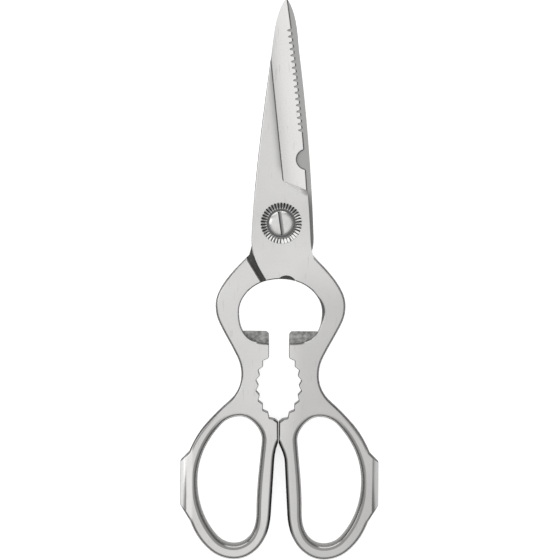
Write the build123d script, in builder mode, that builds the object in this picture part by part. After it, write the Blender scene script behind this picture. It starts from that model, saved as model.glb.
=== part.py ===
from build123d import *
import os
from math import asin, degrees

# Kitchen shears forged from steel, closed and lying flat. Sizes are in millimetres.
# The origin is on the pivot's axis, at the underside. +Y runs to the blade tips, +X to
# the viewer's right, and +Z up to the face with the screw head.
# Both halves are drawn face up, with the blade's back on the left and the handle on the
# right. The rear half is then turned over about the Y axis.

# Plates and the ride round the pivot
plate_thickness = 3.4
ride_gap = 0.05
overrun = 1.0
pick_margin = 0.01
handle_thickness = 2 * plate_thickness + ride_gap
ride_level = plate_thickness + ride_gap

# Blades, from the pivot to the tips
blade_reach = 80.6
ride_offset = 0.55
tip_offset = 1.3
back_station = 60.0
back_half_width = 5.15
back_heading = (0.129, 0.992)
back_foot_heading = (0.04, 0.999)
tip_half_width = 0.4
tip_heading = (0.55, 0.835)
back_shares = (0.33, 0.33)
point_shares = (0.33, 0.33)
edge_root_station = 9.3
edge_root_width = 8.8
edge_bow = 0.7
plate_rounding = 0.45

# Ride, the flat ground on which the halves turn
ride_side_station = 5.0
ride_side_width = 11.15
heel_width = 5.3
heel_station = 20.5
heel_heading = (0.526, -0.85)
heel_shares = (0.43, 0.37)
throat_width = 11.4
throat_station = 11.2
throat_heading = (-0.3, 0.954)
throat_shares = (0.2, 0.45)

# Hollow ground cutting bevel, which starts with a small step at the blade's flat
bevel_width = 8.0
bevel_step = 0.3
bevel_step_run = 0.25
bevel_overhang = 2.0
bevel_hollow = 0.31
bevel_end_rise = 3.9
bevel_end_slope = 40.0

# Serrations and bone notch of the front blade
serration_count = 17
serration_pitch = 2.24
serration_first_station = 33.6
serration_mouth = 1.45
serration_apex_depth = 2.3
serration_root_radius = 0.3
notch_station = 23.1
notch_radius = 3.5
notch_depth = 3.0
notch_lead_radius = 0.8

# Handle outline, as half widths at distances below the pivot
bow_half_width = 23.25
bow_station = 29.6
waist_half_width = 13.85
waist_station = 54.2
loop_half_width = 34.2
handle_reach = 120.15
foot_offset = 16.0
limb_foot_offset = 2.95
limb_top_offset = 1.9
lobe_heel_station = 78.4
shoulder_heading = (0.69, -0.724)
lobe_heading = (-0.353, 0.935)
shoulder_shares = (0.41, 0.30)
bow_shares = (0.31, 0.31)
waist_shares = (0.28, 0.513)
loop_shares = (0.463, 0.328)
foot_shares = (0.313, 0.505)
lobe_shares = (0.42, 0.32)
outer_bevel = 0.75
stop_bevel = 0.4

# Places down the loop, as shares of the way from the lobes' heel to the loop's foot
limb_top_share = 0.17
limb_foot_share = 0.613
loop_share = 0.326
hole_outer_share = 0.34
hole_inner_foot_share = 0.601
lug_top_share = 0.158
lug_foot_share = 0.532
lug_end_share = 0.742

# Finger hole
hole_top_offset = 14.3
hole_top_station = 69.15
outer_limb_width = 4.7
hole_foot_offset = 16.1
foot_limb_width = 5.1
hole_inner_foot_offset = 8.1
hole_inner_top_offset = 6.35
hole_inner_top_station = 78.2
hole_lean_heading = (-0.09, 0.996)
hole_top_shares = (0.22, 0.45)
hole_outer_shares = (0.46, 0.25)
hole_foot_shares = (0.37, 0.50)
hole_inner_shares = (0.40, 0.30)
hole_corner_shares = (0.36, 0.34)

# The hole's edges are rounded in two passes, which leave three facets that touch an arc
hole_rounding = 1.9
first_pass_share = 0.586
second_pass_share = 0.215

# Thumb lug on the outside of each loop
lug_half_width = 35.45
lug_root_depth = 4.15
lug_facet_width = 2.4
lug_facet_drop = 0.5

# Bottle opener bow, an oval between the two halves
oval_half_width = 14.95
oval_top_station = 19.9
oval_station = 31.8
oval_floor_station = 43.0
oval_floor_offset = 5.0
oval_upper_shares = (0.511, 0.287)
oval_lower_shares = (0.47, 0.44)
oval_bevel = 0.35
oval_hollow_width = 1.05
oval_hollow_radius = 8.0
half_moon_offset = 2.0
half_moon_width = 5.8
half_moon_depth = 1.3

# Jaws: a straight mouth, then the round nutcracker with its bites, then the stop lobes.
# The right half reaches a little over the middle, and the left half stands back from it.
jaw_shift = 0.45
mouth_half_width = 3.6
nut_radius = 15.6
nut_half_width = 7.25
nut_station = 57.9
bite_count = 7
bite_first_angle = 32.0
bite_step_angle = 12.9
bite_mouth = 3.1
bite_depth = 1.05
bite_root_radius = 0.35
stop_gap = 0.16
lobe_rounding = 1.0

# Lifting lips that stand into the oval
lip_station = 38.6
lip_thickness = 2.4
lip_rounding = 1.4
lip_root_width = 15.0
lip_root_depth = 2.0

# Shoulder, where the full thickness of the handle starts
shoulder_outer_width = 12.0
shoulder_outer_station = 12.5
shoulder_inner_width = 7.15
shoulder_inner_station = 20.3
shoulder_chamfer = 0.6
shoulder_chamfer_angle = 45.0

# Pivot screw and the toothed lock washer under its head
screw_radius = 2.5
thread_clearance = 0.02
running_clearance = 0.05
head_radius = 4.4
head_rim = 0.9
head_crown = 1.15
head_edge_rounding = 0.25
slot_width = 1.3
slot_depth = 1.0
slot_angle = 8.5
screw_end_recess = 0.1
screw_end_chamfer = 0.3
washer_radius = 7.35
washer_land_radius = 5.2
washer_sink = 1.0
washer_thickness = 0.55
washer_rim_gap = 0.05
washer_rim_thickness = 0.35
washer_tooth_count = 38
washer_tooth_depth = 0.3

up = (0.0, 1.0)
down = (0.0, -1.0)
left = (-1.0, 0.0)
right = (1.0, 0.0)


def arc_pair(start, start_way, end, end_way):
    """Draw two arcs that meet smoothly and keep the headings of both ends."""
    chord = end - start
    bend = 2 * start_way.dot(end_way) - 2
    slant = -2 * chord.dot(start_way + end_way)
    spread = (slant**2 - 4 * bend * chord.dot(chord)) ** 0.5
    lead = 2 * chord.dot(chord) / (spread - slant)
    leave = start + start_way * lead
    arrive = end - end_way * lead
    joint = (leave + arrive) / 2
    TangentArc(start, joint, tangent=start_way)
    TangentArc(joint, end, tangent=arrive - leave)


def flow(start, start_heading, end, end_heading, shares):
    """Draw one smooth stretch of outline in arcs, its handles being shares of its length."""
    first = Vector(*start)
    last = Vector(*end)
    reach = (last - first).length
    leave = first + Vector(*start_heading) * reach * shares[0]
    arrive = last - Vector(*end_heading) * reach * shares[1]
    guide = Bezier(first, leave, arrive, last, mode=Mode.PRIVATE)
    arc_pair(first, guide % 0, guide @ 0.5, guide % 0.5)
    arc_pair(guide @ 0.5, guide % 0.5, last, guide % 1)


def heading(start, end):
    """Direction of travel from one outline point to the next."""
    way = (Vector(*end) - Vector(*start)).normalized()
    return (way.X, way.Y)


def reverse(way):
    """The opposite direction of travel."""
    return (-way[0], -way[1])


def reversed_shares(shares):
    """Shares of a stretch that is drawn the other way round."""
    return (shares[1], shares[0])


def blade_middle(station, side):
    """Sideways place of the blades' centre line, which leans a little to the right."""
    return side * (ride_offset + (tip_offset - ride_offset) * station / blade_reach)


def edge_ends(side):
    """Root and tip of the cutting edge."""
    root = (blade_middle(edge_root_station, side) + edge_root_width, edge_root_station)
    tip = (blade_middle(blade_reach, side) + tip_half_width, blade_reach)
    return root, tip


def edge_place(station, side):
    """Point of the bowed cutting edge at a distance from the pivot."""
    root, tip = edge_ends(side)
    share = (station - root[1]) / (tip[1] - root[1])
    bow = 4 * edge_bow * share * (1 - share)
    return (root[0] + (tip[0] - root[0]) * share + bow, station)


def loop_place(share):
    """Distance below the pivot of a place on the loop."""
    return lobe_heel_station + (handle_reach - lobe_heel_station) * share


def stop_offset(side):
    """Sideways place of the face on which the halves meet when they are closed."""
    return stop_gap / 2 - side * jaw_shift


def draw_handle(side):
    """Outer outline of the right hand handle, open towards the jaws."""
    throat = (throat_width, -throat_station)
    bow = (bow_half_width, -bow_station)
    waist = (waist_half_width, -waist_station)
    loop = (loop_half_width, -loop_place(loop_share))
    foot = (foot_offset, -handle_reach)
    limb_foot = (limb_foot_offset, -loop_place(limb_foot_share))
    limb_top = (limb_top_offset, -loop_place(limb_top_share))
    lobe_heel = (stop_offset(side), -lobe_heel_station)
    limb_heading = heading(limb_foot, limb_top)
    inside_run = stop_offset(side) + 2 * overrun
    inside_rise = inside_run * lobe_heading[1] / -lobe_heading[0]
    inside = (-2 * overrun, inside_rise - lobe_heel_station)
    flow(throat, shoulder_heading, bow, down, shoulder_shares)
    flow(bow, down, waist, down, bow_shares)
    flow(waist, down, loop, down, waist_shares)
    flow(loop, down, foot, left, loop_shares)
    flow(foot, left, limb_foot, limb_heading, foot_shares)
    Line(limb_foot, limb_top)
    flow(limb_top, limb_heading, lobe_heel, lobe_heading, lobe_shares)
    Polyline(lobe_heel, inside, (inside[0], -throat_station), throat)


def draw_lug():
    """Thumb lug, with its root inside the loop's outer limb."""
    root = loop_half_width - lug_root_depth
    crest_top = (lug_half_width, -loop_place(lug_top_share))
    crest_foot = (lug_half_width, -loop_place(lug_foot_share))
    start = (root, crest_top[1] + lug_half_width - root)
    finish = (root, -loop_place(lug_end_share))
    Polyline(start, crest_top, crest_foot, finish, close=True)


def draw_finger_hole():
    """Finger hole, round the top, down the outside and back up the leaning inner side."""
    top = (hole_top_offset, -hole_top_station)
    outer = (loop_half_width - outer_limb_width, -loop_place(hole_outer_share))
    foot = (hole_foot_offset, foot_limb_width - handle_reach)
    inner_foot = (hole_inner_foot_offset, -loop_place(hole_inner_foot_share))
    inner_top = (hole_inner_top_offset, -hole_inner_top_station)
    flow(top, right, outer, down, hole_top_shares)
    flow(outer, down, foot, left, hole_outer_shares)
    flow(foot, left, inner_foot, up, hole_foot_shares)
    flow(inner_foot, up, inner_top, hole_lean_heading, hole_inner_shares)
    flow(inner_top, hole_lean_heading, top, right, hole_corner_shares)


def draw_oval():
    """Whole oval between the halves, flat along its floor."""
    top = (0, -oval_top_station)
    oval = (oval_half_width, -oval_station)
    floor = (oval_floor_offset, -oval_floor_station)
    far_oval = (-oval_half_width, -oval_station)
    far_floor = (-oval_floor_offset, -oval_floor_station)
    flow(top, right, oval, down, oval_upper_shares)
    flow(oval, down, floor, left, oval_lower_shares)
    Line(floor, far_floor)
    flow(far_floor, left, far_oval, up, reversed_shares(oval_lower_shares))
    flow(far_oval, up, top, right, reversed_shares(oval_upper_shares))


def nut_centre(side):
    """Centre of the round that the nutcracker's crests lie on."""
    return (nut_half_width - nut_radius - side * jaw_shift, -nut_station)


def mouth_offset(side):
    """Sideways place of the mouth's wall."""
    return mouth_half_width - side * jaw_shift


def draw_jaws(side):
    """Mouth, nutcracker and stop face, with everything to their left."""
    centre_x, centre_y = nut_centre(side)
    mouth = mouth_offset(side)
    stop = stop_offset(side)
    mouth_rise = (nut_radius**2 - (mouth - centre_x) ** 2) ** 0.5
    stop_drop = (nut_radius**2 - (stop - centre_x) ** 2) ** 0.5
    far = -3 * overrun
    mouth_top = (mouth, -oval_station)
    mouth_foot = (mouth, centre_y + mouth_rise)
    stop_top = (stop, centre_y - stop_drop)
    stop_foot = (stop, -lobe_heel_station - overrun)
    Line(mouth_top, mouth_foot)
    ThreePointArc(mouth_foot, (centre_x + nut_radius, centre_y), stop_top)
    Polyline(stop_top, stop_foot, (far, stop_foot[1]), (far, mouth_top[1]), mouth_top)


def draw_stop(side):
    """Face on which the lobes meet."""
    Line((stop_offset(side), -nut_station), (stop_offset(side), -lobe_heel_station))


def draw_step():
    """Ground on the blade side of the shoulder, where the handle is cut to half."""
    outer = (shoulder_outer_width, -shoulder_outer_station)
    inner = (shoulder_inner_width, -shoulder_inner_station)
    along = Vector(*heading(inner, outer)) * 2 * overrun
    beyond = tuple(Vector(*outer) + along)[:2]
    before = tuple(Vector(*inner) - along)[:2]
    far = -2 * overrun
    clear = -throat_station + 2 * overrun
    Polyline(before, beyond, (beyond[0], clear), (far, clear), (far, before[1]), close=True)


def draw_plate(side):
    """Blade and ride in one outline, from the tip down the back and up the cutting side."""
    ride_side = (blade_middle(0, side) - ride_side_width, -ride_side_station)
    back = (blade_middle(back_station, side) - back_half_width, back_station)
    back_tip = (blade_middle(blade_reach, side) - tip_half_width, blade_reach)
    heel = (-heel_width, -heel_station)
    heel_end = tuple(Vector(*heel) + Vector(*heel_heading) * overrun)[:2]
    throat = (throat_width, -throat_station)
    root, tip = edge_ends(side)
    middle_station = (root[1] + tip[1]) / 2
    flow(heel, reverse(heel_heading), ride_side, back_foot_heading, heel_shares)
    flow(ride_side, back_foot_heading, back, back_heading, back_shares)
    flow(back, back_heading, back_tip, tip_heading, point_shares)
    Polyline(heel, heel_end, (0, heel_end[1]), throat)
    flow(throat, throat_heading, root, heading(root, tip), throat_shares)
    ThreePointArc(root, edge_place(middle_station, side), tip)
    Line(tip, back_tip)


def bevel_plane(side):
    """Plane square to the cutting edge at its root, with X to the back and Y up."""
    root, tip = edge_ends(side)
    along = Vector(*heading(root, tip))
    return Plane(origin=Vector(*root), x_dir=(-along.Y, along.X, 0), z_dir=along)


def make_bevel_cutter(side):
    """Grinding pass that hollows the blade's outer face down to the edge."""
    root, tip = edge_ends(side)
    above = handle_thickness + overrun
    low = (-bevel_overhang, ride_level)
    high = (bevel_width, handle_thickness - bevel_step)
    step_top = bevel_width + bevel_step_run
    run_start = Vector(root[0] - bevel_width, root[1] + bevel_end_rise, handle_thickness)
    run_end = Vector(root[0], root[1], handle_thickness)
    across = (run_end - run_start).normalized()
    end_plane = Plane(origin=run_end, x_dir=across, z_dir=across.cross(Vector(0, 0, 1)))
    with BuildPart() as cutter:
        with BuildSketch(bevel_plane(side)):
            with BuildLine():
                SagittaArc(low, high, -bevel_hollow)
                Polyline(
                    high,
                    (step_top, handle_thickness),
                    (step_top, above),
                    (-bevel_overhang, above),
                    low,
                )
            make_face()
        extrude(amount=blade_reach)
        split(bisect_by=end_plane.rotated((bevel_end_slope, 0, 0)), keep=Keep.BOTTOM)
    return cutter


def make_teeth_cutter():
    """Row of rounded notches square to the cutting edge."""
    flare = serration_mouth / 2 * (1 + overrun / serration_apex_depth)
    with BuildSketch() as gullet:
        Polygon((-serration_apex_depth, 0), (overrun, -flare), (overrun, flare), align=None)
        fillet(gullet.vertices().sort_by(Axis.X).first, radius=serration_root_radius)
    with BuildSketch() as teeth:
        for number in range(serration_count):
            station = serration_first_station + number * serration_pitch
            place = edge_place(station, 1)
            lean = heading(place, edge_place(station + serration_pitch, 1))
            with Locations(Location(place, (0, 0, -degrees(asin(lean[0]))))):
                add(gullet.sketch)
    return teeth


def make_blade(side, toothed):
    """Blade with its ride plate, rounded along the back and ground to its edge."""
    cutter = make_bevel_cutter(side)
    with BuildPart() as blade:
        with BuildSketch(Plane.XY.offset(ride_level)) as plate:
            with BuildLine():
                draw_plate(side)
            make_face()
            if toothed:
                edge_x, edge_y = edge_place(notch_station, side)
                with Locations((edge_x + notch_radius - notch_depth, edge_y)):
                    Circle(notch_radius, mode=Mode.SUBTRACT)
                corners = plate.vertices(Select.LAST).filter_by_position(Axis.Y, 0, blade_reach)
                fillet(corners, radius=notch_lead_radius)
                add(make_teeth_cutter().sketch, mode=Mode.SUBTRACT)
        extrude(amount=plate_thickness)
        rim = blade.faces().sort_by(Axis.Z)[-1].edges()
        fillet(rim.filter_by(lambda edge: edge.center().X < -heel_width), radius=plate_rounding)
        add(cutter.part, mode=Mode.SUBTRACT)
    return blade


def edges_between(edges, axis, low, high):
    """Edges whose middle lies between two places on an axis, with a little to spare."""
    return edges.filter_by_position(axis, low - pick_margin, high + pick_margin)


def edges_along(part, draw, *given):
    """Edges in the front and the back face that follow a drawn outline."""
    with BuildLine() as line:
        draw(*given)
    path = line.wires()[0]
    flat = part.edges().filter_by(Plane.XY)
    front = edges_between(flat, Axis.Z, handle_thickness, handle_thickness)
    both = front + edges_between(flat, Axis.Z, 0, 0)
    return both.filter_by(
        lambda edge: path.distance_to(Vector(edge.center().X, edge.center().Y)) < pick_margin
    )


def make_jaws(side):
    """Everything that is cut away between the handles: oval, mouth, nutcracker and bites."""
    flare = bite_mouth / 2 * (1 + overrun / bite_depth)
    with BuildSketch() as bite:
        Polygon((bite_depth, 0), (-overrun, flare), (-overrun, -flare), align=None)
        fillet(bite.vertices().sort_by(Axis.X).last, radius=bite_root_radius)
    with BuildSketch() as jaws:
        with BuildLine():
            draw_jaws(side)
        make_face()
        stop = stop_offset(side)
        stop_corners = edges_between(jaws.vertices(), Axis.X, stop, stop)
        fillet(stop_corners.sort_by(Axis.Y).last, radius=lobe_rounding)
        with BuildLine():
            draw_oval()
        make_face()
        first_angle = bite_first_angle - (bite_count - 1) * bite_step_angle
        with Locations(nut_centre(side)):
            span = bite_count * bite_step_angle
            with PolarLocations(nut_radius, bite_count, first_angle, span):
                add(bite.sketch)
    return jaws


def make_lip(side):
    """Lifting lip with one rounded corner, its root inside the handle."""
    foot = -oval_floor_station - lip_root_depth
    inner_foot = (mouth_offset(side), foot)
    inner_top = (mouth_offset(side), -lip_station)
    root_top = (lip_root_width, -lip_station)
    root_foot = (lip_root_width, foot)
    with BuildSketch(Plane.XY.offset((handle_thickness - lip_thickness) / 2)) as lip:
        with BuildLine():
            Polyline(inner_foot, inner_top, root_top, root_foot, close=True)
        make_face()
        fillet(lip.vertices().group_by(Axis.Y)[-1].sort_by(Axis.X).first, radius=lip_rounding)
    return lip


def make_lug_cutter():
    """Wedges that slope the front and the back of the lug outwards."""
    start = lug_half_width - lug_facet_width
    beyond = lug_half_width + lug_facet_width
    front_drop = handle_thickness - 2 * lug_facet_drop
    above = handle_thickness + overrun
    top = loop_place(lug_top_share) - lug_facet_width
    length = loop_place(lug_end_share) - top
    with BuildPart() as cutter:
        with BuildSketch(Plane.XZ.offset(top)):
            with BuildLine():
                Polyline(
                    (start, handle_thickness),
                    (beyond, front_drop),
                    (beyond, above),
                    (start, above),
                    close=True,
                )
            make_face()
            with BuildLine():
                Polyline(
                    (start, 0),
                    (beyond, 2 * lug_facet_drop),
                    (beyond, -overrun),
                    (start, -overrun),
                    close=True,
                )
            make_face()
        extrude(amount=length)
    return cutter


def make_oval_cutter():
    """Cone that bevels the front edge of the oval on its widest side."""
    with BuildPart() as cutter:
        place_x = oval_half_width + oval_hollow_width - oval_hollow_radius
        place_z = handle_thickness + (overrun - oval_hollow_width) / 2
        with Locations((place_x, -oval_station, place_z)):
            Cone(
                bottom_radius=oval_hollow_radius - oval_hollow_width,
                top_radius=oval_hollow_radius + overrun,
                height=oval_hollow_width + overrun,
            )
    return cutter


def make_half(side, toothed):
    """One forged half: blade, ride and handle in one piece."""
    blade = make_blade(side, toothed)
    with BuildPart() as half:
        with BuildSketch():
            with BuildLine():
                draw_handle(side)
            make_face()
            with BuildLine():
                draw_lug()
            make_face()
            with BuildLine():
                draw_finger_hole()
            make_face(mode=Mode.SUBTRACT)
        extrude(amount=handle_thickness)
        with BuildSketch() as step:
            with BuildLine():
                draw_step()
            make_face()
        extrude(amount=ride_level, mode=Mode.SUBTRACT)
        with BuildSketch():
            add(step.sketch)
            offset(amount=shoulder_chamfer, kind=Kind.INTERSECTION)
        extrude(amount=shoulder_chamfer, taper=shoulder_chamfer_angle, mode=Mode.SUBTRACT)
        add(blade.part)
        extrude(make_jaws(side).sketch, amount=handle_thickness, mode=Mode.SUBTRACT)

        chamfer(edges_along(half, draw_finger_hole), length=hole_rounding * first_pass_share)
        facets = half.edges(Select.LAST).filter_by(Plane.XY)
        chamfer(facets, length=hole_rounding * second_pass_share)
        outside = edges_along(half, draw_handle, side) + edges_along(half, draw_lug)
        chamfer(outside, length=outer_bevel)
        chamfer(edges_along(half, draw_stop, side), length=stop_bevel)
        chamfer(edges_along(half, draw_oval), length=oval_bevel)
        add(make_lug_cutter().part, mode=Mode.SUBTRACT)
        add(make_oval_cutter().part, mode=Mode.SUBTRACT)
        extrude(make_lip(side).sketch, amount=lip_thickness)
        if toothed:
            moon_radius = ((half_moon_width / 2) ** 2 + half_moon_depth**2) / (2 * half_moon_depth)
            with BuildSketch(Plane.XY.offset(ride_level)):
                with Locations((half_moon_offset, half_moon_depth - oval_top_station - moon_radius)):
                    Circle(moon_radius)
            extrude(amount=plate_thickness, mode=Mode.SUBTRACT)
    return half


front_blank = make_half(1, True)
rear_blank = make_half(-1, False)

# Front half, with a stepped bore that seats the lock washer
seat_depth = washer_sink + washer_thickness
with BuildPart() as front_half:
    add(front_blank.part)
    with BuildSketch(Plane.XZ):
        with BuildLine():
            seat_rim = washer_radius + washer_rim_gap
            bore = screw_radius + running_clearance
            Polyline(
                (0, handle_thickness + overrun),
                (seat_rim, handle_thickness + overrun),
                (seat_rim, handle_thickness - washer_rim_thickness),
                (washer_land_radius, handle_thickness - seat_depth),
                (bore, handle_thickness - seat_depth),
                (bore, ride_level - overrun),
                (0, ride_level - overrun),
                close=True,
            )
        make_face()
    revolve(axis=Axis.Z, mode=Mode.SUBTRACT)

# Rear half, turned over, with the tapped hole for the screw
with BuildPart() as rear_half:
    with Locations((0, 0, handle_thickness)):
        add(rear_blank.part, rotation=(0, 180, 0))
    with BuildSketch():
        Circle(screw_radius + thread_clearance)
    extrude(amount=handle_thickness, mode=Mode.SUBTRACT)


def draw_star(crest_radius):
    """Ring of washer teeth, seen along the pivot: crests, and troughs further out."""
    half_tooth = 180 / washer_tooth_count
    crests = PolarLocations(crest_radius, washer_tooth_count)
    troughs = PolarLocations(crest_radius + washer_tooth_depth, washer_tooth_count, half_tooth)
    points = []
    for crest, trough in zip(crests.local_locations, troughs.local_locations):
        points += [crest.position, trough.position]
    Polyline(*points, close=True)


# Lock washer, a dished ring with radial teeth all round
with BuildPart() as lock_washer:
    with BuildSketch(Plane.XZ):
        with BuildLine():
            land_foot = handle_thickness - seat_depth
            hole = screw_radius + 2 * running_clearance
            Polyline(
                (hole, land_foot),
                (washer_land_radius, land_foot),
                (washer_radius, handle_thickness - washer_rim_thickness),
                (washer_radius, handle_thickness),
                (hole, handle_thickness),
                close=True,
            )
        make_face()
    revolve(axis=Axis.Z)
    with BuildSketch(Plane.XY.offset(handle_thickness - washer_sink)):
        with BuildLine():
            draw_star(washer_land_radius)
        make_face()
    with BuildSketch(Plane.XY.offset(handle_thickness)):
        with BuildLine():
            draw_star(washer_radius - washer_tooth_depth)
        make_face()
    loft(ruled=True, mode=Mode.SUBTRACT)

# Pivot screw, its head on the washer's land and its thread in the rear half
with BuildPart() as pivot_screw:
    head_foot = handle_thickness - washer_sink + ride_gap
    head_side = head_foot + head_rim
    head_top = head_side + head_crown
    with BuildSketch(Plane.XZ) as profile:
        with BuildLine():
            Polyline(
                (0, head_top),
                (0, screw_end_recess),
                (screw_radius, screw_end_recess),
                (screw_radius, head_foot),
                (head_radius, head_foot),
                (head_radius, head_side),
            )
            crown_radius = (head_radius**2 + head_crown**2) / (2 * head_crown)
            RadiusArc((head_radius, head_side), (0, head_top), -crown_radius)
        make_face()
        head_corner = profile.vertices().group_by(Axis.X)[-1].sort_by(Axis.Y).last
        fillet(head_corner, radius=head_edge_rounding)
        end_corner = profile.vertices().group_by(Axis.Y)[0].sort_by(Axis.X).last
        chamfer(end_corner, length=screw_end_chamfer)
    revolve(axis=Axis.Z)
    with Locations((0, 0, head_top)):
        Box(
            slot_width,
            2 * head_radius,
            2 * slot_depth,
            rotation=(0, 0, slot_angle),
            mode=Mode.SUBTRACT,
        )

os.makedirs("parts", exist_ok=True)

front_half.part.label = "front_half"
export_step(front_half.part, "parts/front_half.step")
rear_half.part.label = "rear_half"
export_step(rear_half.part, "parts/rear_half.step")
lock_washer.part.label = "lock_washer"
export_step(lock_washer.part, "parts/lock_washer.step")
pivot_screw.part.label = "pivot_screw"
export_step(pivot_screw.part, "parts/pivot_screw.step")
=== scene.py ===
import math
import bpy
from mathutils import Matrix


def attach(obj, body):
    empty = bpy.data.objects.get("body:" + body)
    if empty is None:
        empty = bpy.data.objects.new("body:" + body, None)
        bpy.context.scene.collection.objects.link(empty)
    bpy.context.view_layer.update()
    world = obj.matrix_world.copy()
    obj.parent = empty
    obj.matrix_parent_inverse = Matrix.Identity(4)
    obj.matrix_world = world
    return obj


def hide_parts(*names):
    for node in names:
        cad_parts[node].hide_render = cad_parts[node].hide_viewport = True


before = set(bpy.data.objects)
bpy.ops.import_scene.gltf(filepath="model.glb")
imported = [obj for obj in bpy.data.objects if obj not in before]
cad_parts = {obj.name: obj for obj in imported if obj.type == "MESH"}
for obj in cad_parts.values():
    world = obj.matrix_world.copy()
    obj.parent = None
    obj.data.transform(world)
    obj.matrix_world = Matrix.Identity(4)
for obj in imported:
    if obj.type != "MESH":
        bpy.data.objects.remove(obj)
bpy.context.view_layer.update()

from types import SimpleNamespace

import bmesh
import bpy
from mathutils import Matrix, Vector

bl_info = {
    "name": "Kitchen shears",
    "version": (1, 0, 0),
    "blender": (4, 5, 0),
    "location": "3D View > Sidebar > Shears",
    "description": "All-metal kitchen shears with a toothed blade, a bone notch and a nutcracker below the bow",
    "category": "Object",
}

# The picture this scene is framed for is square, and this wide where the shears lie.
PICTURE_WIDTH = 0.2005
SENSOR_WIDTH_MM = 36.0
PICTURE_CENTRE = Vector((-0.00028, -0.02026, 0.005))
CAMERA_CLIP_START = 0.01

# The floor lies a hair below the shears, and both lights look at the pivot.
FLOOR_DROP = 0.0002
WINDOW_PLACE = (-0.25, 1.0, 0.45)
WINDOW_SIZE = (1.5, 0.6)
LEFT_PLACE = (-0.95, 0.25, 0.6)
LEFT_SIZE = (0.5, 0.5)
# The room brightens from the horizon to this height, by this much, and is at full level from the next.
WALL_TOP = 0.56
WALL_TOP_GAIN = 1.6
CEILING_START = 0.72

# Flat faces at these heights are the outer ones, and their rims are eased where the handles begin.
# The jaws and lips keep a much narrower easing than the rest, so that their bites stay crisp.
OUTER_TOP = 0.0067
OUTER_BOTTOM = 0.00015
RIM_FLAT_LEVEL = 0.9995
RIM_STEEP_LEVEL = 0.98
RIMS_START = -0.012
JAW_RIMS_START = -0.03
JAW_RIMS_END = -0.0765
JAW_RIMS_HALF_WIDTH = 0.0115
HANDLE_RIM_SEGMENTS = 3
JAW_RIM_SEGMENTS = 1
JAW_RIM_SHARE = 0.36
FLAT_JOIN_ANGLE = math.radians(0.3)
WELD_DISTANCE = 1e-6
WASHER_SMOOTH_ANGLE = math.radians(12.0)

# The toothed cutting edge runs from root to tip with a slight swell, and the bone notch bites into it.
CUTTING_EDGE_ROOT = (0.00944, 0.0093)
CUTTING_EDGE_TIP = (0.0017, 0.0806)
CUTTING_EDGE_BOW = 0.0007
NOTCH_CENTRE = (0.00888, 0.0231)
# The upright part of the line between the two, for distances square to it.
EDGE_SLANT = 0.9942

# Each pair below says where a finish, a painted shade or a painted highlight begins to show and where it is whole.
# First come places in metres from the pivot: across, along, or up from the table.
BLADES_ALONG = (0.009, 0.0105)
STEP_HEIGHT = (0.0062, 0.0064)
EDGE_SHADOW_REACH = (0.0005, 0.0003)
EDGE_SHADOW_HEIGHT = (0.00345, 0.00347)
NOTCH_SHADOW_REACH = (0.00395, 0.0037)
FLAT_ALONG = (0.0152, 0.0156)
BEVEL_LEFT_BEHIND = (0.0081, 0.0082)
BEVEL_LINE_REACH = (0.00845, 0.00835)
BEVEL_SIDE_SHADE_REACH = (0.0112, 0.0083)
BEVEL_SIDE_SHADE_ALONG = (0.0152, 0.0205)
HEEL_SHADE_ACROSS = (0.0065, 0.0105)
LOOPS_ALONG = (-0.068, -0.074)
LUGS_ACROSS = (0.0306, 0.0314)
RIGHT_HANDLE_ACROSS = (0.0, 0.008)
RIGHT_HANDLE_ALONG = (-0.012, -0.03)
STOP_ALONG = (-0.064, -0.068)
STOP_ACROSS = (0.0052, 0.0038)
BITES_START = (-0.035, -0.037)
BITES_END = (-0.068, -0.067)
BITES_ACROSS = (0.0088, 0.0082)
INNER_LOWEST = (0.0012, 0.0016)
INNER_HIGHEST = (0.0052, 0.0048)
UNDER_PLATE_SHADE_ALONG = (0.012, 0.006)
SHOULDER_GAP_ACROSS = (0.0, -0.002)
SHOULDER_GAP_ALONG = (0.0, -0.004)
BOW_GAP_ALONG = (-0.016, -0.019)
PARTING_HEIGHT = 0.003425
LIPS_OFF_PARTING = (0.0006, 0.0009)

# Then how a face is turned: the sideways, lengthways or upright part of its normal.
GROUND_LEAN = (0.08, 0.13)
GROUND_LEVEL = (0.86, 0.91)
HEEL_PITCH = (0.2, 0.3)
STEP_LEVEL = (0.84, 0.8)
STEP_PITCH = (0.3, 0.2)
FLAT_LEVEL = (0.99, 0.995)
LOOP_RIM_LEVEL = (0.997, 0.985)
BITES_LEVEL = (0.97, 0.9)
INNER_LEVEL = (0.988, 0.994)
EDGE_LEVEL = (0.91, 0.83)
WALL_LEVEL = (0.5, 0.42)

# Painted shade in the gap, under the bites, at the heel and beside the bevel, and the colour of worn marks, with how
# strongly the two faint ones (the shade beside the bevel and the marks) show.
GAP_SHADE_COLOUR = (0.12, 0.12, 0.115)
BITE_SHADE_COLOUR = (0.12, 0.12, 0.118)
HEEL_SHADE_COLOUR = (0.25, 0.25, 0.245)
BEVEL_SIDE_SHADE_COLOUR = (0.3, 0.3, 0.295)
BEVEL_SIDE_SHADE_STRENGTH = 0.75
MARK_COLOUR = (0.45, 0.45, 0.44)
MARK_STRENGTH = 0.2
INNER_ROUGHNESS = 0.45
HEEL_ROUGHNESS = 0.6
WALL_ROUGHNESS = 0.4
ROUGHNESS_SWING = 0.04

# Noises of the satin steel, in waves to the metre, and how far lines and marks are drawn out.
CLOUD_WAVES = 70.0
DRIFT_WAVES = 16.0
PIT_WAVES = 700.0
POLISH_STRETCH = (5200.0, 160.0, 5200.0)
GRIND_STRETCH = (240.0, 5200.0, 2400.0)
GRIND_TURN = 0.12
MARK_STRETCH = (1500.0, 190.0, 900.0)
LINE_HEIGHT = 0.7
BUMP_STRENGTH = 0.5

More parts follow.
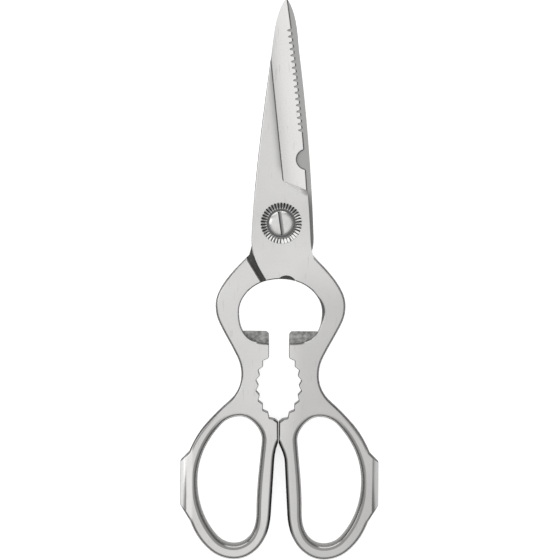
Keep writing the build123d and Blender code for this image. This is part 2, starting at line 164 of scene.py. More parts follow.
# Grey tones by noise value, darkest first.
CLOUD_TONES = ((0.3, 0.93), (0.7, 1.0))
DRIFT_TONES = ((0.35, 0.93), (0.65, 1.0))
GRAIN_TONES = ((0.3, 0.95), (0.65, 1.0))
PIT_TONES = ((0.38, 0.42), (0.62, 1.0))
MARK_TONES = ((0.72, 0.0), (0.78, 1.0))
RING_TONES = ((0.3, 0.9), (0.7, 1.0))
STAIN_TONES = ((0.3, 0.84), (0.6, 1.0))
NOISE_MIDDLE = (0.3, 0.7)

# The turning rings of the screw and the washer: the way from one to the next, and their depth.
SCREW_RINGS = (0.00016, 0.000004)
WASHER_RINGS = (0.0003, 0.000002)
STAIN_WAVES = 420.0
STAIN_ROUGHNESS = (0.8, 1.35)

# The floor of the screw's slot: half its width, the heights it lies between, and the fall of its painted shade.
SLOT_HALF_WIDTH = (0.0008, 0.0007)
SLOT_HIGHEST = (0.0071, 0.00698)
SLOT_LOWEST = (0.00685, 0.0069)
SLOT_ACROSS = (-0.0005, 0.0007)
SLOT_SHADE_TONES = ((0.0, 0.03), (1.0, 0.5))

# The washer's teeth stand outside its land. Their grooves get painted shade, which fades towards the handles as
# painted light, and the land gets a painted shadow from the screw head.
TEETH_RADIUS = (0.00515, 0.0053)
GROOVE_LIGHT_ALONG = (-0.0035, -0.0052)
GROOVE_LIGHT_BY = 0.09
GROOVE_SHADE_TONES = ((0.25, 1.0), (0.36, 0.06))
LAND_SHADOW_COLOUR = (0.13, 0.13, 0.13)
CREST_SWING = (0.13, 0.07)
WORN_METAL = 0.5


class ShearsSteelSettings(bpy.types.PropertyGroup):
    """Finish of the two forged halves."""

    satin_colour: bpy.props.FloatVectorProperty(
        name="Satin colour",
        description="Colour of the satin finished faces",
        subtype="COLOR", size=3, min=0.0, max=1.0, default=(0.8, 0.793, 0.784),
    )
    # Painted shade: the whole right handle is painted darker, as the light falls from the left.
    right_shade_colour: bpy.props.FloatVectorProperty(
        name="Right handle colour",
        description="Colour of the satin on the right handle, which is brushed a little darker",
        subtype="COLOR", size=3, min=0.0, max=1.0, default=(0.65, 0.645, 0.638),
    )
    # Painted shade: the eased rims round the loops are darkened in colour.
    loop_rim_shade_colour: bpy.props.FloatVectorProperty(
        name="Loop rim colour",
        description="Colour of the eased rims round the loops",
        subtype="COLOR", size=3, min=0.0, max=1.0, default=(0.34, 0.336, 0.33),
    )
    ground_colour: bpy.props.FloatVectorProperty(
        name="Ground colour",
        description="Colour of the finer ground faces along the cutting edges",
        subtype="COLOR", size=3, min=0.0, max=1.0, default=(0.97, 0.96, 0.95),
    )
    # Painted shadow: dark lines along the toothed edge, round the bone notch, at the bevel's stepped start and where
    # the bevel begins.
    edge_shadow_colour: bpy.props.FloatVectorProperty(
        name="Honed colour",
        description="Colour of the honed line along the toothed edge",
        subtype="COLOR", size=3, min=0.0, max=1.0, default=(0.1, 0.1, 0.1),
    )
    # Painted shade: the inner faces below the pivot, seen under the other half's plate, are darkened in colour.
    under_plate_shade_colour: bpy.props.FloatVectorProperty(
        name="Seat colour",
        description="Colour of the oiled faces that turn on each other near the pivot",
        subtype="COLOR", size=3, min=0.0, max=1.0, default=(0.28, 0.28, 0.27),
    )
    # Painted shade: sloping edges are darkened in colour; only their lower roughness comes from buffing.
    edge_shade_colour: bpy.props.FloatVectorProperty(
        name="Edge colour",
        description="Colour of the broken edges, which are buffed and not satin finished",
        subtype="COLOR", size=3, min=0.0, max=1.0, default=(0.56, 0.555, 0.545),
    )
    # Painted shade: the steep sides are darkened in colour.
    wall_shade_colour: bpy.props.FloatVectorProperty(
        name="Wall colour",
        description="Colour of the sides, which keep more of the forging skin",
        subtype="COLOR", size=3, min=0.0, max=1.0, default=(0.22, 0.218, 0.212),
    )
    # Darker partly as a coarser ground finish and partly as painted shade under the other plate.
    inner_colour: bpy.props.FloatVectorProperty(
        name="Inner colour",
        description="Colour of the inner faces on which the halves ride",
        subtype="COLOR", size=3, min=0.0, max=1.0, default=(0.5, 0.498, 0.49),
    )
    lip_colour: bpy.props.FloatVectorProperty(
        name="Lip colour",
        description="Colour of the rough lifting lips",
        subtype="COLOR", size=3, min=0.0, max=1.0, default=(0.5, 0.5, 0.49),
    )
    satin_roughness: bpy.props.FloatProperty(
        name="Satin roughness",
        description="Roughness of the satin finished faces",
        subtype="FACTOR", min=0.0, max=1.0, default=0.3,
    )
    ground_roughness: bpy.props.FloatProperty(
        name="Ground roughness",
        description="Roughness of the ground faces",
        subtype="FACTOR", min=0.0, max=1.0, default=0.26,
    )
    edge_roughness: bpy.props.FloatProperty(
        name="Edge roughness",
        description="Roughness of the buffed edges",
        subtype="FACTOR", min=0.0, max=1.0, default=0.2,
    )
    grain_size: bpy.props.FloatProperty(
        name="Grain size",
        description="Size of the satin grain",
        unit="LENGTH", min=0.00005, max=0.002, precision=5, default=0.00035,
    )
    grain_depth: bpy.props.FloatProperty(
        name="Grain depth",
        description="Depth of the satin grain",
        unit="LENGTH", min=0.0, max=0.0001, precision=6, default=0.000004,
    )
    rim_rounding: bpy.props.FloatProperty(
        name="Rim rounding",
        description="Width by which the rims of the handles' flat faces are eased",
        unit="LENGTH", min=0.0, max=0.001, precision=5, default=0.00045,
    )
    smooth_angle: bpy.props.FloatProperty(
        name="Smooth angle",
        description="Faces that meet at less than this are shaded as one",
        subtype="ANGLE", min=0.0, max=math.pi, default=math.radians(24.0),
    )


class ShearsPivotSettings(bpy.types.PropertyGroup):
    """Finish of the pivot screw and the toothed lock washer."""

    screw_colour: bpy.props.FloatVectorProperty(
        name="Screw colour",
        description="Colour of the turned screw",
        subtype="COLOR", size=3, min=0.0, max=1.0, default=(0.8, 0.795, 0.785),
    )
    screw_roughness: bpy.props.FloatProperty(
        name="Screw roughness",
        description="Roughness of the turned screw",
        subtype="FACTOR", min=0.0, max=1.0, default=0.2,
    )
    washer_colour: bpy.props.FloatVectorProperty(
        name="Washer colour",
        description="Colour of the pressed washer",
        subtype="COLOR", size=3, min=0.0, max=1.0, default=(0.8, 0.8, 0.79),
    )
    washer_roughness: bpy.props.FloatProperty(
        name="Washer roughness",
        description="Roughness of the pressed washer",
        subtype="FACTOR", min=0.0, max=1.0, default=0.14,
    )
    slot_angle: bpy.props.FloatProperty(
        name="Slot angle",
        description="Turn of the screw's slot from the line of the blades",
        subtype="ANGLE", min=-math.pi, max=math.pi, default=math.radians(8.5),
    )
    tooth_count: bpy.props.IntProperty(
        name="Washer teeth",
        description="Number of teeth round the washer",
        min=6, max=120, default=38,
    )


class ShearsStageSettings(bpy.types.PropertyGroup):
    """Floor, lights and camera."""

    camera_height: bpy.props.FloatProperty(
        name="Camera height",
        description="Distance from the camera to the shears",
        unit="LENGTH", min=0.1, max=3.0, default=0.475,
    )
    camera_roll: bpy.props.FloatProperty(
        name="Camera roll",
        description="Turn of the camera about its view",
        subtype="ANGLE", min=-math.pi, max=math.pi, default=math.radians(0.43),
    )
    floor_colour: bpy.props.FloatVectorProperty(
        name="Floor colour",
        description="Colour of the floor",
        subtype="COLOR", size=3, min=0.0, max=1.0, default=(0.9, 0.9, 0.9),
    )
    floor_size: bpy.props.FloatProperty(
        name="Floor size",
        description="Side of the square floor",
        unit="LENGTH", min=0.5, max=20.0, default=4.0,
    )
    floor_glow: bpy.props.FloatProperty(
        name="Floor glow",
        description="White that the floor adds where it is seen",
        subtype="FACTOR", min=0.0, max=1.0, default=0.68,
    )
    zenith_level: bpy.props.FloatProperty(
        name="Overhead level",
        description="Brightness of the room overhead",
        min=0.0, max=2.0, default=0.91,
    )
    horizon_level: bpy.props.FloatProperty(
        name="Wall level",
        description="Brightness of the room's walls",
        min=0.0, max=2.0, default=0.16,
    )
    window_power: bpy.props.FloatProperty(
        name="Window light",
        description="Power of the broad low light beyond the tips",
        min=0.0, max=100.0, default=3.4,
    )
    left_power: bpy.props.FloatProperty(
        name="Left light",
        description="Power of the soft light at the left",
        min=0.0, max=100.0, default=0.9,
    )


class FinishNodes:
    """The emptied node tree of a finish, with the few steps that the finishes are put together from."""

    def __init__(self, owner):
        owner.use_nodes = True
        self.tree = owner.node_tree
        self.tree.nodes.clear()

    def add(self, kind, values=None, links=None, **settings):
        """Adds a node with its settings, values and links."""
        node = self.tree.nodes.new(kind)
        for key, value in settings.items():
            setattr(node, key, value)
        for key, value in (values or {}).items():
            node.inputs[key].default_value = value
        for key, socket in (links or {}).items():
            self.tree.links.new(socket, node.inputs[key])
        return node

    def split(self, vector):
        """The three parts of a vector."""
        parts = self.add("ShaderNodeSeparateXYZ", links={"Vector": vector}).outputs
        return parts["X"], parts["Y"], parts["Z"]

    def drawn_out(self, place, scale, turn=0.0):
        """Places that are scaled along each axis and turned about the pivot."""
        mapping = self.add("ShaderNodeMapping", {"Scale": scale, "Rotation": (0.0, 0.0, turn)}, {"Vector": place})
        return mapping.outputs["Vector"]

    def noise(self, place, waves, detail, roughness=0.5):
        """A noise with this many waves to the unit of place."""
        values = {"Scale": waves, "Detail": detail, "Roughness": roughness}
        return self.add("ShaderNodeTexNoise", values, {"Vector": place}).outputs["Fac"]

    def sum_of(self, operation, *terms):
        """One sum of up to three terms, each a socket or a number."""
        node = self.add("ShaderNodeMath", operation=operation)
        for slot, term in enumerate(terms):
            if isinstance(term, float):
                node.inputs[slot].default_value = term
            else:
                self.tree.links.new(term, node.inputs[slot])
        return node.outputs["Value"]

    def share(self, value, span, least=0.0, most=1.0):
        """How far a value lies along a span, from least at its start to most at its end."""
        values = {"From Min": span[0], "From Max": span[1], "To Min": least, "To Max": most}
        return self.add("ShaderNodeMapRange", values, {"Value": value}).outputs["Result"]

    def both(self, first, *others):
        """Where all of these shares hold."""
        for other in others:
            first = self.sum_of("MULTIPLY", first, other)
        return first

    def either(self, first, *others):
        """Where any of these shares holds."""
        for other in others:
            first = self.sum_of("MAXIMUM", first, other)
        return first

    def tone(self, value, stops):
        """The grey tone of a value, from (value, grey level) stops."""
        node = self.add("ShaderNodeValToRGB", links={"Fac": value})
        elements = node.color_ramp.elements
        while len(elements) < len(stops):
            elements.new(0.5)
        for element, (place, level) in zip(elements, stops):
            element.position = place
            element.color = (level, level, level, 1.0)
        return node.outputs["Color"]

    def over(self, base, top, where):
        """A colour laid over another where the share says."""
        laid = self.add("ShaderNodeMix", {"B": (*top, 1.0)}, {"A": base, "Factor": where}, data_type="RGBA")
        return laid.outputs["Result"]

    def stained(self, base, tone):
        """A colour darkened by a grey tone."""
        laid = self.add("ShaderNodeMix", {"Factor": 1.0}, {"A": base, "B": tone},
                        data_type="RGBA", blend_type="MULTIPLY")
        return laid.outputs["Result"]

    def rougher(self, base, top, where):
        """A roughness laid over another where the share says."""
        laid = self.add("ShaderNodeMix", {"B": top}, {"A": base, "Factor": where}, data_type="FLOAT")
        return laid.outputs["Result"]


def face_places(nodes):
    """Where a face of a half lies and how it is turned."""
    place = nodes.add("ShaderNodeTexCoord").outputs["Object"]
    across, along, height = nodes.split(place)
    lean, pitch, _ = nodes.split(nodes.add("ShaderNodeTexCoord").outputs["Normal"])
    level = nodes.split(nodes.add("ShaderNodeNewGeometry").outputs["True Normal"])[2]
    return SimpleNamespace(
        place=place, across=across, along=along, height=height,
        off_line=nodes.sum_of("ABSOLUTE", across),
        lean=nodes.sum_of("ABSOLUTE", lean),
        pitch=nodes.sum_of("ABSOLUTE", pitch),
        level=nodes.sum_of("ABSOLUTE", level),
    )


def blade_parts(nodes, face):
    """Where the blades are ground, and where painted shade lies at the heel, beside the bevel and in painted shadow
    lines along the edges.
    """
    on_blade = nodes.share(face.along, BLADES_ALONG)
    ground = nodes.both(nodes.share(face.lean, GROUND_LEAN), nodes.share(face.level, GROUND_LEVEL), on_blade)
    heel = nodes.both(on_blade, nodes.share(face.pitch, HEEL_PITCH))
    # Painted shade on part of the heel.
    heel_shade = nodes.both(heel, nodes.share(face.across, HEEL_SHADE_ACROSS))
    # The bevel's stepped start gets a painted shadow line as well.
    step_shadow = nodes.both(on_blade, nodes.share(face.level, STEP_LEVEL),
                      nodes.share(face.height, STEP_HEIGHT), nodes.share(face.pitch, STEP_PITCH))

    # A painted shadow line follows the toothed edge.
    from_root = nodes.sum_of("SUBTRACT", face.along, CUTTING_EDGE_ROOT[1])
    run = nodes.sum_of("DIVIDE", from_root, CUTTING_EDGE_TIP[1] - CUTTING_EDGE_ROOT[1])
    straight = nodes.sum_of("MULTIPLY_ADD", run, CUTTING_EDGE_TIP[0] - CUTTING_EDGE_ROOT[0], CUTTING_EDGE_ROOT[0])
    swell = nodes.both(run, nodes.sum_of("SUBTRACT", 1.0, run), 4 * CUTTING_EDGE_BOW)
    to_edge = nodes.sum_of("SUBTRACT", nodes.sum_of("ADD", straight, swell), face.across)
    edge_shadow = nodes.both(ground, nodes.share(to_edge, EDGE_SHADOW_REACH), nodes.share(face.height, EDGE_SHADOW_HEIGHT))

    # A painted shadow runs round the bone notch's rim.
    notch_x = nodes.sum_of("SUBTRACT", face.across, NOTCH_CENTRE[0])
    notch_y = nodes.sum_of("SUBTRACT", face.along, NOTCH_CENTRE[1])
    squares = nodes.sum_of("ADD", nodes.both(notch_x, notch_x), nodes.both(notch_y, notch_y))
    notch_rim_shadow = nodes.both(ground, nodes.share(nodes.sum_of("SQRT", squares), NOTCH_SHADOW_REACH))

    # The flat gets painted shade where it meets the ground bevel, and a painted shadow line marks the bevel's start.
    to_line = nodes.both(nodes.sum_of("SUBTRACT", straight, face.across), EDGE_SLANT)
    on_flat = nodes.both(nodes.share(face.along, FLAT_ALONG), nodes.share(face.level, FLAT_LEVEL),
                         nodes.share(to_line, BEVEL_LEFT_BEHIND))
    bevel_line_shadow = nodes.both(on_flat, nodes.share(to_line, BEVEL_LINE_REACH))
    bevel_side_shade = nodes.both(on_flat, nodes.share(to_line, BEVEL_SIDE_SHADE_REACH), nodes.share(face.along, BEVEL_SIDE_SHADE_ALONG))
    return SimpleNamespace(
        ground=ground, heel=heel, heel_shade=heel_shade,
        bevel_side_shade=nodes.both(bevel_side_shade, bevel_side_shade, BEVEL_SIDE_SHADE_STRENGTH),
        shadow_lines=nodes.either(edge_shadow, notch_rim_shadow, step_shadow, bevel_line_shadow),
    )


def handle_parts(nodes, face):
    """Where the handles have their lug faces with a painted highlight, their loop rims with painted shade, the painted
    shade over the right handle, and the painted shade at their bites.
    """
    on_loops = nodes.share(face.along, LOOPS_ALONG)
    on_lugs = nodes.share(face.off_line, LUGS_ACROSS)
    sloping = nodes.share(face.level, BITES_LEVEL)
    # Painted shade at the stop and at the bites.
    stop = nodes.both(nodes.share(face.along, STOP_ALONG), nodes.share(face.off_line, STOP_ACROSS), sloping)
    bites = nodes.both(nodes.share(face.along, BITES_START), nodes.share(face.along, BITES_END),
                       nodes.share(face.off_line, BITES_ACROSS), sloping)
    return SimpleNamespace(
        lug_highlight=nodes.both(on_loops, on_lugs),
        loop_rims=nodes.both(on_loops, nodes.share(face.level, LOOP_RIM_LEVEL),
                             nodes.sum_of("SUBTRACT", 1.0, on_lugs)),
        right_shade=nodes.both(nodes.share(face.across, RIGHT_HANDLE_ACROSS),
                              nodes.share(face.along, RIGHT_HANDLE_ALONG)),
        bites=nodes.either(stop, bites),
    )


def inner_parts(nodes, face):
    """Where level faces lie between the plates: the ridden faces, the painted shade below the pivot, the painted shade
    in the open gap, and the lips.
    """
    faces = nodes.both(nodes.share(face.height, INNER_LOWEST), nodes.share(face.height, INNER_HIGHEST),
                       nodes.share(face.level, INNER_LEVEL))
    # Painted shade in the open gap by the shoulder and the bow.
    by_shoulder = nodes.both(nodes.share(face.across, SHOULDER_GAP_ACROSS),
                             nodes.share(face.along, SHOULDER_GAP_ALONG))
    in_gap = nodes.either(by_shoulder, nodes.share(face.along, BOW_GAP_ALONG))
    off_parting = nodes.sum_of("ABSOLUTE", nodes.sum_of("SUBTRACT", face.height, PARTING_HEIGHT))
    return SimpleNamespace(
        faces=faces,
        under_plate_shade=nodes.both(faces, nodes.share(face.along, UNDER_PLATE_SHADE_ALONG)),
        gap=nodes.both(faces, in_gap),
        lips=nodes.both(faces, nodes.share(off_parting, LIPS_OFF_PARTING)),
    )


def make_satin_steel(settings):
    """Satin steel for the forged halves, finer and paler where the blades are ground, with painted shade and a painted
    highlight laid into its colour.
    """
    material = bpy.data.materials.new("satin_steel_finish")
    nodes = FinishNodes(material)
    face = face_places(nodes)
    blade = blade_parts(nodes, face)
    handle = handle_parts(nodes, face)
    inner = inner_parts(nodes, face)
    # Sloping edges and steep sides get painted shade in the colour below.
    edge = nodes.share(face.level, EDGE_LEVEL)
    wall = nodes.share(face.level, WALL_LEVEL)

    # Fine satin grain, soft clouds and drifts left by forging and tumbling, and pits on the lips.
    grain = nodes.noise(face.place, 1.0 / settings.grain_size, 4.0, 0.65)
    clouds = nodes.noise(face.place, CLOUD_WAVES, 3.0)
    drift = nodes.noise(face.place, DRIFT_WAVES, 2.0)
    pits = nodes.noise(face.place, PIT_WAVES, 4.0, 0.7)

    # Polishing lines run along the shears, grinding lines run across the bevels, and marks are short.
    polish = nodes.noise(nodes.drawn_out(face.place, POLISH_STRETCH), 1.0, 3.0, 0.6)
    grind = nodes.noise(nodes.drawn_out(face.place, GRIND_STRETCH, GRIND_TURN), 1.0, 3.0, 0.6)
    marks = nodes.tone(nodes.noise(nodes.drawn_out(face.place, MARK_STRETCH), 1.0, 0.0), MARK_TONES)

    base = nodes.add("ShaderNodeMix", {"A": (*settings.satin_colour, 1.0), "B": (*settings.ground_colour, 1.0)},
                     {"Factor": blade.ground}, data_type="RGBA")
    colour = base.outputs["Result"]
    # Laid over the satin: painted highlight on the lug faces, painted shade on the right handle, the loop rims, the
    # inner faces (partly), below the pivot and in the gap; the lips keep their own rough grey.
    for top, where in (
        # The lug faces take the pale ground colour as a painted highlight.
        (settings.ground_colour, handle.lug_highlight),
        (settings.right_shade_colour, handle.right_shade),
        (settings.loop_rim_shade_colour, handle.loop_rims),
        (settings.inner_colour, inner.faces),
        (settings.under_plate_shade_colour, inner.under_plate_shade),
        (GAP_SHADE_COLOUR, inner.gap),
        (settings.lip_colour, inner.lips),
    ):
        colour = nodes.over(colour, top, where)
    pitted = nodes.add("ShaderNodeMix", links={"Factor": inner.lips, "A": colour, "B": nodes.tone(pits, PIT_TONES)},
                       data_type="RGBA", blend_type="MULTIPLY")
    colour = pitted.outputs["Result"]
    # Then painted shade on sloping edges, steep sides, the heel, beside the bevel and at the bites, and painted shadow
    # lines along the edges; the heel also takes the ground colour.
    for top, where in (
        (settings.edge_shade_colour, edge),
        (settings.ground_colour, blade.heel),
        (HEEL_SHADE_COLOUR, blade.heel_shade),
        (BEVEL_SIDE_SHADE_COLOUR, blade.bevel_side_shade),
        (settings.wall_shade_colour, wall),
        (BITE_SHADE_COLOUR, handle.bites),
        (settings.edge_shadow_colour, blade.shadow_lines),
    ):
        colour = nodes.over(colour, top, where)
    for noise, stops in ((clouds, CLOUD_TONES), (drift, DRIFT_TONES), (grain, GRAIN_TONES)):
        colour = nodes.stained(colour, nodes.tone(noise, stops))
    colour = nodes.over(colour, MARK_COLOUR, nodes.both(marks, MARK_STRENGTH))

    rough = nodes.share(blade.ground, (0.0, 1.0), settings.satin_roughness, settings.ground_roughness)
    for top, where in (
        (INNER_ROUGHNESS, inner.faces),
        (settings.edge_roughness, edge),
        (HEEL_ROUGHNESS, blade.heel),
        (WALL_ROUGHNESS, wall),
    ):
        rough = nodes.rougher(rough, top, where)
    rough = nodes.sum_of("ADD", rough, nodes.share(clouds, NOISE_MIDDLE, -ROUGHNESS_SWING, ROUGHNESS_SWING))

    lines = nodes.add("ShaderNodeMix", links={"Factor": blade.ground, "A": polish, "B": grind}, data_type="FLOAT")
    relief = nodes.sum_of("ADD", nodes.both(lines.outputs["Result"], LINE_HEIGHT), grain)
    bump = nodes.add("ShaderNodeBump", {"Strength": BUMP_STRENGTH, "Distance": settings.grain_depth},
                     {"Height": relief})
    surface = nodes.add("ShaderNodeBsdfPrincipled", {"Metallic": 1.0},
                        {"Base Color": colour, "Roughness": rough, "Normal": bump.outputs["Normal"]})
    nodes.add("ShaderNodeOutputMaterial", links={"Surface": surface.outputs["BSDF"]})
    return material


def start_turned_steel(name, base_colour, roughness, rings):
    """Bright stained steel with fine turning rings: its material, nodes, places, colour and surface."""
    spacing, depth = rings
    material = bpy.data.materials.new(name)
    nodes = FinishNodes(material)
    place = nodes.add("ShaderNodeTexCoord").outputs["Object"]
    radius = nodes.add("ShaderNodeVectorMath", links={0: nodes.drawn_out(place, (1.0, 1.0, 0.0))},
                       operation="LENGTH").outputs["Value"]
    ring = nodes.add("ShaderNodeTexNoise", {"Scale": 1.0 / spacing, "Detail": 2.0}, {"W": radius},
                     noise_dimensions="1D").outputs["Fac"]
    stain = nodes.noise(place, STAIN_WAVES, 4.0, 0.6)
    ringed = nodes.add("ShaderNodeMix", {"Factor": 1.0, "A": (*base_colour, 1.0)}, {"B": nodes.tone(ring, RING_TONES)},
                       data_type="RGBA", blend_type="MULTIPLY")
    colour = nodes.stained(ringed.outputs["Result"], nodes.tone(stain, STAIN_TONES))
    smoothest, roughest = (roughness * factor for factor in STAIN_ROUGHNESS)
    bump = nodes.add("ShaderNodeBump", {"Strength": BUMP_STRENGTH, "Distance": depth}, {"Height": ring})
    surface = nodes.add("ShaderNodeBsdfPrincipled", {"Metallic": 1.0},
                        {"Roughness": nodes.share(stain, NOISE_MIDDLE, smoothest, roughest),
                         "Normal": bump.outputs["Normal"]})
    nodes.add("ShaderNodeOutputMaterial", links={"Surface": surface.outputs["BSDF"]})
    return SimpleNamespace(material=material, nodes=nodes, place=place, radius=radius, colour=colour, surface=surface)


def make_screw_steel(settings):
    """Turned steel with painted shade on the floor of the screw's slot, darkest along its left wall."""
    steel = start_turned_steel("turned_screw_steel", settings.screw_colour, settings.screw_roughness, SCREW_RINGS)
    nodes = steel.nodes
    across, _, height = nodes.split(nodes.drawn_out(steel.place, (1.0, 1.0, 1.0), -settings.slot_angle))
    on_floor = nodes.both(nodes.share(nodes.sum_of("ABSOLUTE", across), SLOT_HALF_WIDTH),
                          nodes.share(height, SLOT_HIGHEST), nodes.share(height, SLOT_LOWEST))
    # Painted shade on the slot floor, darkest at its left wall.
    shade = nodes.tone(nodes.share(across, SLOT_ACROSS), SLOT_SHADE_TONES)
    laid = nodes.add("ShaderNodeMix", links={"Factor": on_floor, "A": steel.colour, "B": shade}, data_type="RGBA")
    nodes.tree.links.new(laid.outputs["Result"], steel.surface.inputs["Base Color"])
    return steel.material


def make_washer_steel(settings):
    """Pressed steel with worn teeth, painted shade in the grooves between them that fades towards the handles as
    painted light, and a painted shadow on the land inside them.
    """
    steel = start_turned_steel("pressed_washer_steel", settings.washer_colour, settings.washer_roughness,
                               WASHER_RINGS)
    nodes = steel.nodes
    across, along, _ = nodes.split(steel.place)
    turn = nodes.sum_of("ARCTAN2", along, across)
    tooth = nodes.both(turn, settings.tooth_count / (2 * math.pi))
    swing = nodes.sum_of("PINGPONG", tooth, 0.5)
    toothed = nodes.share(steel.radius, TEETH_RADIUS)
    # Painted shade in the grooves, lifted towards the handles as painted light.
    groove_light = nodes.sum_of("SUBTRACT", swing, nodes.share(along, GROOVE_LIGHT_ALONG, 0.0, GROOVE_LIGHT_BY))
    groove_shaded = nodes.stained(steel.colour, nodes.tone(groove_light, GROOVE_SHADE_TONES))
    # The land inside the teeth gets a painted shadow from the screw head.
    laid = nodes.add("ShaderNodeMix", {"A": (*LAND_SHADOW_COLOUR, 1.0)}, {"Factor": toothed, "B": groove_shaded},
                     data_type="RGBA")
    nodes.tree.links.new(laid.outputs["Result"], steel.surface.inputs["Base Color"])
    worn = nodes.both(nodes.share(swing, CREST_SWING), toothed)
    nodes.tree.links.new(nodes.share(worn, (0.0, 1.0), 1.0, WORN_METAL), steel.surface.inputs["Metallic"])
    return steel.material


def rim_edges(work, wanted_jaws):
    """Edges round the handles' flat faces, either those of the jaws and lips or all the others."""
    found = []
    for edge in work.edges:
        if len(edge.link_faces) != 2:
            continue
        steep, flat = sorted(abs(face.normal.z) for face in edge.link_faces)
        spot = (edge.verts[0].co + edge.verts[1].co) / 2
        outer_face = spot.z > OUTER_TOP or spot.z < OUTER_BOTTOM
        jaws = abs(spot.x) < JAW_RIMS_HALF_WIDTH and spot.y > JAW_RIMS_END
        reached = spot.y < (JAW_RIMS_START if jaws else RIMS_START)
        turned = flat > RIM_FLAT_LEVEL and steep < RIM_STEEP_LEVEL
        if outer_face and turned and reached and jaws == wanted_jaws:
            found.append(edge)
    return found


def ease_rims(work, rounding):
    """Joins the facets of the flat faces and eases the rims round them."""
    bmesh.ops.dissolve_limit(work, angle_limit=FLAT_JOIN_ANGLE, verts=work.verts, edges=work.edges,
                             use_dissolve_boundaries=False, delimit=set())
    for jaws, width, segments in (
        (False, rounding, HANDLE_RIM_SEGMENTS),
        (True, rounding * JAW_RIM_SHARE, JAW_RIM_SEGMENTS),
    ):
        bmesh.ops.bevel(work, geom=rim_edges(work, jaws), offset=width, segments=segments,
                        profile=0.5, affect="EDGES", material=-1, clamp_overlap=False)
    bmesh.ops.triangulate(work, faces=work.faces)


def merged_piece(node_name, piece_name, smooth_angle, rim_rounding=0.0):
    """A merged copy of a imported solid, with its rims eased and its sharp edges kept sharp."""
    work = bmesh.new()
    work.from_mesh(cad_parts[node_name].data)
    # Directions stored at the corners no longer fit the merged and eased faces.
    for layer in list(work.loops.layers.float_vector):
        work.loops.layers.float_vector.remove(layer)
    bmesh.ops.remove_doubles(work, verts=work.verts, dist=WELD_DISTANCE)
    if rim_rounding:
        ease_rims(work, rim_rounding)
    for face in work.faces:
        face.smooth = True
    for edge in work.edges:
        edge.smooth = edge.is_manifold and edge.calc_face_angle(0.0) < smooth_angle
    mesh = bpy.data.meshes.new(piece_name)
    work.to_mesh(mesh)
    work.free()
    mesh.materials.clear()
    piece = bpy.data.objects.new(piece_name, mesh)
    bpy.context.scene.collection.objects.link(piece)
    return piece


def join_to_frame(piece, body, node, material):
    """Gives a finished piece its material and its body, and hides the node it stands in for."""
    piece.data.materials.append(material)
    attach(piece, body)
    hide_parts(node)


def steel_material():
    """The one satin steel that both halves share."""
    found = bpy.data.materials.get("satin_steel_finish")
    return found or make_satin_steel(bpy.context.scene.shears_steel)


class SHEARS_OT_front_half(bpy.types.Operator):
    """Make the front half, with its toothed blade and right handle"""

    bl_idname = "shears.front_half"
    bl_label = "Front half"

    def execute(self, context):
        steel = context.scene.shears_steel
        piece = merged_piece("front_half", "front_half_satin", steel.smooth_angle, steel.rim_rounding)
        join_to_frame(piece, "front", "front_half", steel_material())
        return {"FINISHED"}


class SHEARS_OT_rear_half(bpy.types.Operator):
    """Make the rear half, with its plain blade and left handle"""

    bl_idname = "shears.rear_half"
    bl_label = "Rear half"

    def execute(self, context):
        steel = context.scene.shears_steel
        piece = merged_piece("rear_half", "rear_half_satin", steel.smooth_angle, steel.rim_rounding)
        join_to_frame(piece, "rear", "rear_half", steel_material())
        return {"FINISHED"}


class SHEARS_OT_pivot_screw(bpy.types.Operator):
    """Make the slotted pivot screw"""

    bl_idname = "shears.pivot_screw"
    bl_label = "Pivot screw"

    def execute(self, context):
        piece = merged_piece("pivot_screw", "pivot_screw_turned", context.scene.shears_steel.smooth_angle)
        steel = make_screw_steel(context.scene.shears_pivot)
        join_to_frame(piece, "rear", "pivot_screw", steel)
        return {"FINISHED"}


class SHEARS_OT_lock_washer(bpy.types.Operator):
    """Make the dished lock washer with its pressed teeth"""

    bl_idname = "shears.lock_washer"
    bl_label = "Lock washer"

    def execute(self, context):
        piece = merged_piece("lock_washer", "lock_washer_pressed", WASHER_SMOOTH_ANGLE)
        steel = make_washer_steel(context.scene.shears_pivot)
        join_to_frame(piece, "front", "lock_washer", steel)
        return {"FINISHED"}


def make_floor(stage):
    """A plain pale floor that keeps the shadow and shows white where it is seen."""
    work = bmesh.new()
    bmesh.ops.create_grid(work, x_segments=1, y_segments=1, size=stage.floor_size / 2)
    mesh = bpy.data.meshes.new("studio_floor")
    work.to_mesh(mesh)
    work.free()
    mesh.transform(Matrix.Translation((0.0, 0.0, -FLOOR_DROP)))
    floor = bpy.data.objects.new("studio_floor", mesh)
    bpy.context.scene.collection.objects.link(floor)
    material = bpy.data.materials.new("studio_floor_paper")
    nodes = FinishNodes(material)
    path = nodes.add("ShaderNodeLightPath").outputs
    seen = nodes.either(path["Is Camera Ray"], path["Is Glossy Ray"], path["Is Transmission Ray"])
    paper = nodes.add("ShaderNodeBsdfPrincipled",
                      {"Base Color": (*stage.floor_colour, 1.0), "Roughness": 0.9,
                       "Specular IOR Level": 0.1, "Emission Color": (1.0, 1.0, 1.0, 1.0)},
                      {"Emission Strength": nodes.both(seen, stage.floor_glow)})
    nodes.add("ShaderNodeOutputMaterial", links={"Surface": paper.outputs["BSDF"]})
    mesh.materials.append(material)


def make_room(stage):
    """A plain room: pale overhead and greyer towards the walls."""
    world = bpy.data.worlds.new("studio_room")
    bpy.context.scene.world = world
    nodes = FinishNodes(world)
    height = nodes.split(nodes.add("ShaderNodeTexCoord").outputs["Generated"])[2]
    level = nodes.tone(height, ((0.0, stage.horizon_level), (WALL_TOP, stage.horizon_level * WALL_TOP_GAIN),
                                (CEILING_START, stage.zenith_level)))
    back = nodes.add("ShaderNodeBackground", {"Strength": 1.0}, {"Color": level})
    nodes.add("ShaderNodeOutputWorld", links={"Surface": back.outputs["Background"]})


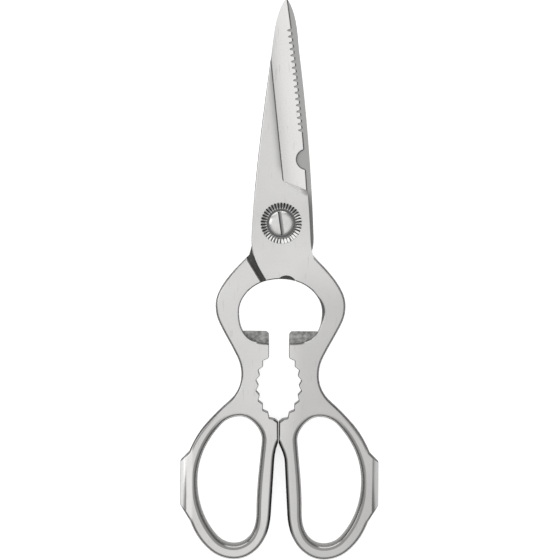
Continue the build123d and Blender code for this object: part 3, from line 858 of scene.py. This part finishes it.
def add_panel(name, place, size, power):
    """One soft light of a width and height that looks at the pivot."""
    lamp = bpy.data.lights.new(name, "AREA")
    lamp.shape = "RECTANGLE"
    lamp.size, lamp.size_y = size
    lamp.energy = power
    panel = bpy.data.objects.new(name, lamp)
    panel.location = place
    panel.rotation_euler = (-Vector(place)).to_track_quat("-Z", "Y").to_euler()
    bpy.context.scene.collection.objects.link(panel)


def make_camera(stage):
    """A camera that looks straight down and frames the picture's width."""
    lens = bpy.data.cameras.new("square_on_camera")
    lens.sensor_width = SENSOR_WIDTH_MM
    lens.lens = SENSOR_WIDTH_MM * stage.camera_height / PICTURE_WIDTH
    lens.clip_start = CAMERA_CLIP_START
    camera = bpy.data.objects.new("square_on_camera", lens)
    camera.location = PICTURE_CENTRE + Vector((0.0, 0.0, stage.camera_height))
    camera.rotation_euler = (0.0, 0.0, stage.camera_roll)
    bpy.context.scene.collection.objects.link(camera)
    bpy.context.scene.camera = camera


class SHEARS_OT_stage(bpy.types.Operator):
    """Make the floor, the room light and the camera"""

    bl_idname = "shears.stage"
    bl_label = "Stage"

    def execute(self, context):
        stage = context.scene.shears_stage
        make_floor(stage)
        make_room(stage)
        add_panel("window_panel", WINDOW_PLACE, WINDOW_SIZE, stage.window_power)
        add_panel("left_panel", LEFT_PLACE, LEFT_SIZE, stage.left_power)
        make_camera(stage)
        context.scene.view_settings.view_transform = "Standard"
        return {"FINISHED"}


OPERATORS = (
    SHEARS_OT_stage,
    SHEARS_OT_front_half,
    SHEARS_OT_rear_half,
    SHEARS_OT_pivot_screw,
    SHEARS_OT_lock_washer,
)


class SHEARS_PT_panel(bpy.types.Panel):
    """Lists the pieces of the shears and their settings"""

    bl_idname = "SHEARS_PT_panel"
    bl_label = "Kitchen shears"
    bl_space_type = "VIEW_3D"
    bl_region_type = "UI"
    bl_category = "Shears"

    def draw(self, context):
        for group in ("shears_steel", "shears_pivot", "shears_stage"):
            settings = getattr(context.scene, group)
            box = self.layout.box()
            for name in settings.__annotations__:
                box.prop(settings, name)
        for operator in OPERATORS:
            self.layout.operator(operator.bl_idname)


GROUPS = (
    ("shears_steel", ShearsSteelSettings),
    ("shears_pivot", ShearsPivotSettings),
    ("shears_stage", ShearsStageSettings),
)


def register():
    """Registers the settings, the operators and the panel."""
    for name, group in GROUPS:
        bpy.utils.register_class(group)
        setattr(bpy.types.Scene, name, bpy.props.PointerProperty(type=group))
    for operator in OPERATORS:
        bpy.utils.register_class(operator)
    bpy.utils.register_class(SHEARS_PT_panel)


def unregister():
    """Takes the panel, the operators and the settings away again."""
    bpy.utils.unregister_class(SHEARS_PT_panel)
    for operator in reversed(OPERATORS):
        bpy.utils.unregister_class(operator)
    for name, group in reversed(GROUPS):
        delattr(bpy.types.Scene, name)
        bpy.utils.unregister_class(group)


def main():
    """Makes the stage and the four pieces."""
    register()
    bpy.ops.shears.stage()
    bpy.ops.shears.front_half()
    bpy.ops.shears.rear_half()
    bpy.ops.shears.pivot_screw()
    bpy.ops.shears.lock_washer()
    bpy.context.view_layer.update()


if __name__ == "__main__":
    main()
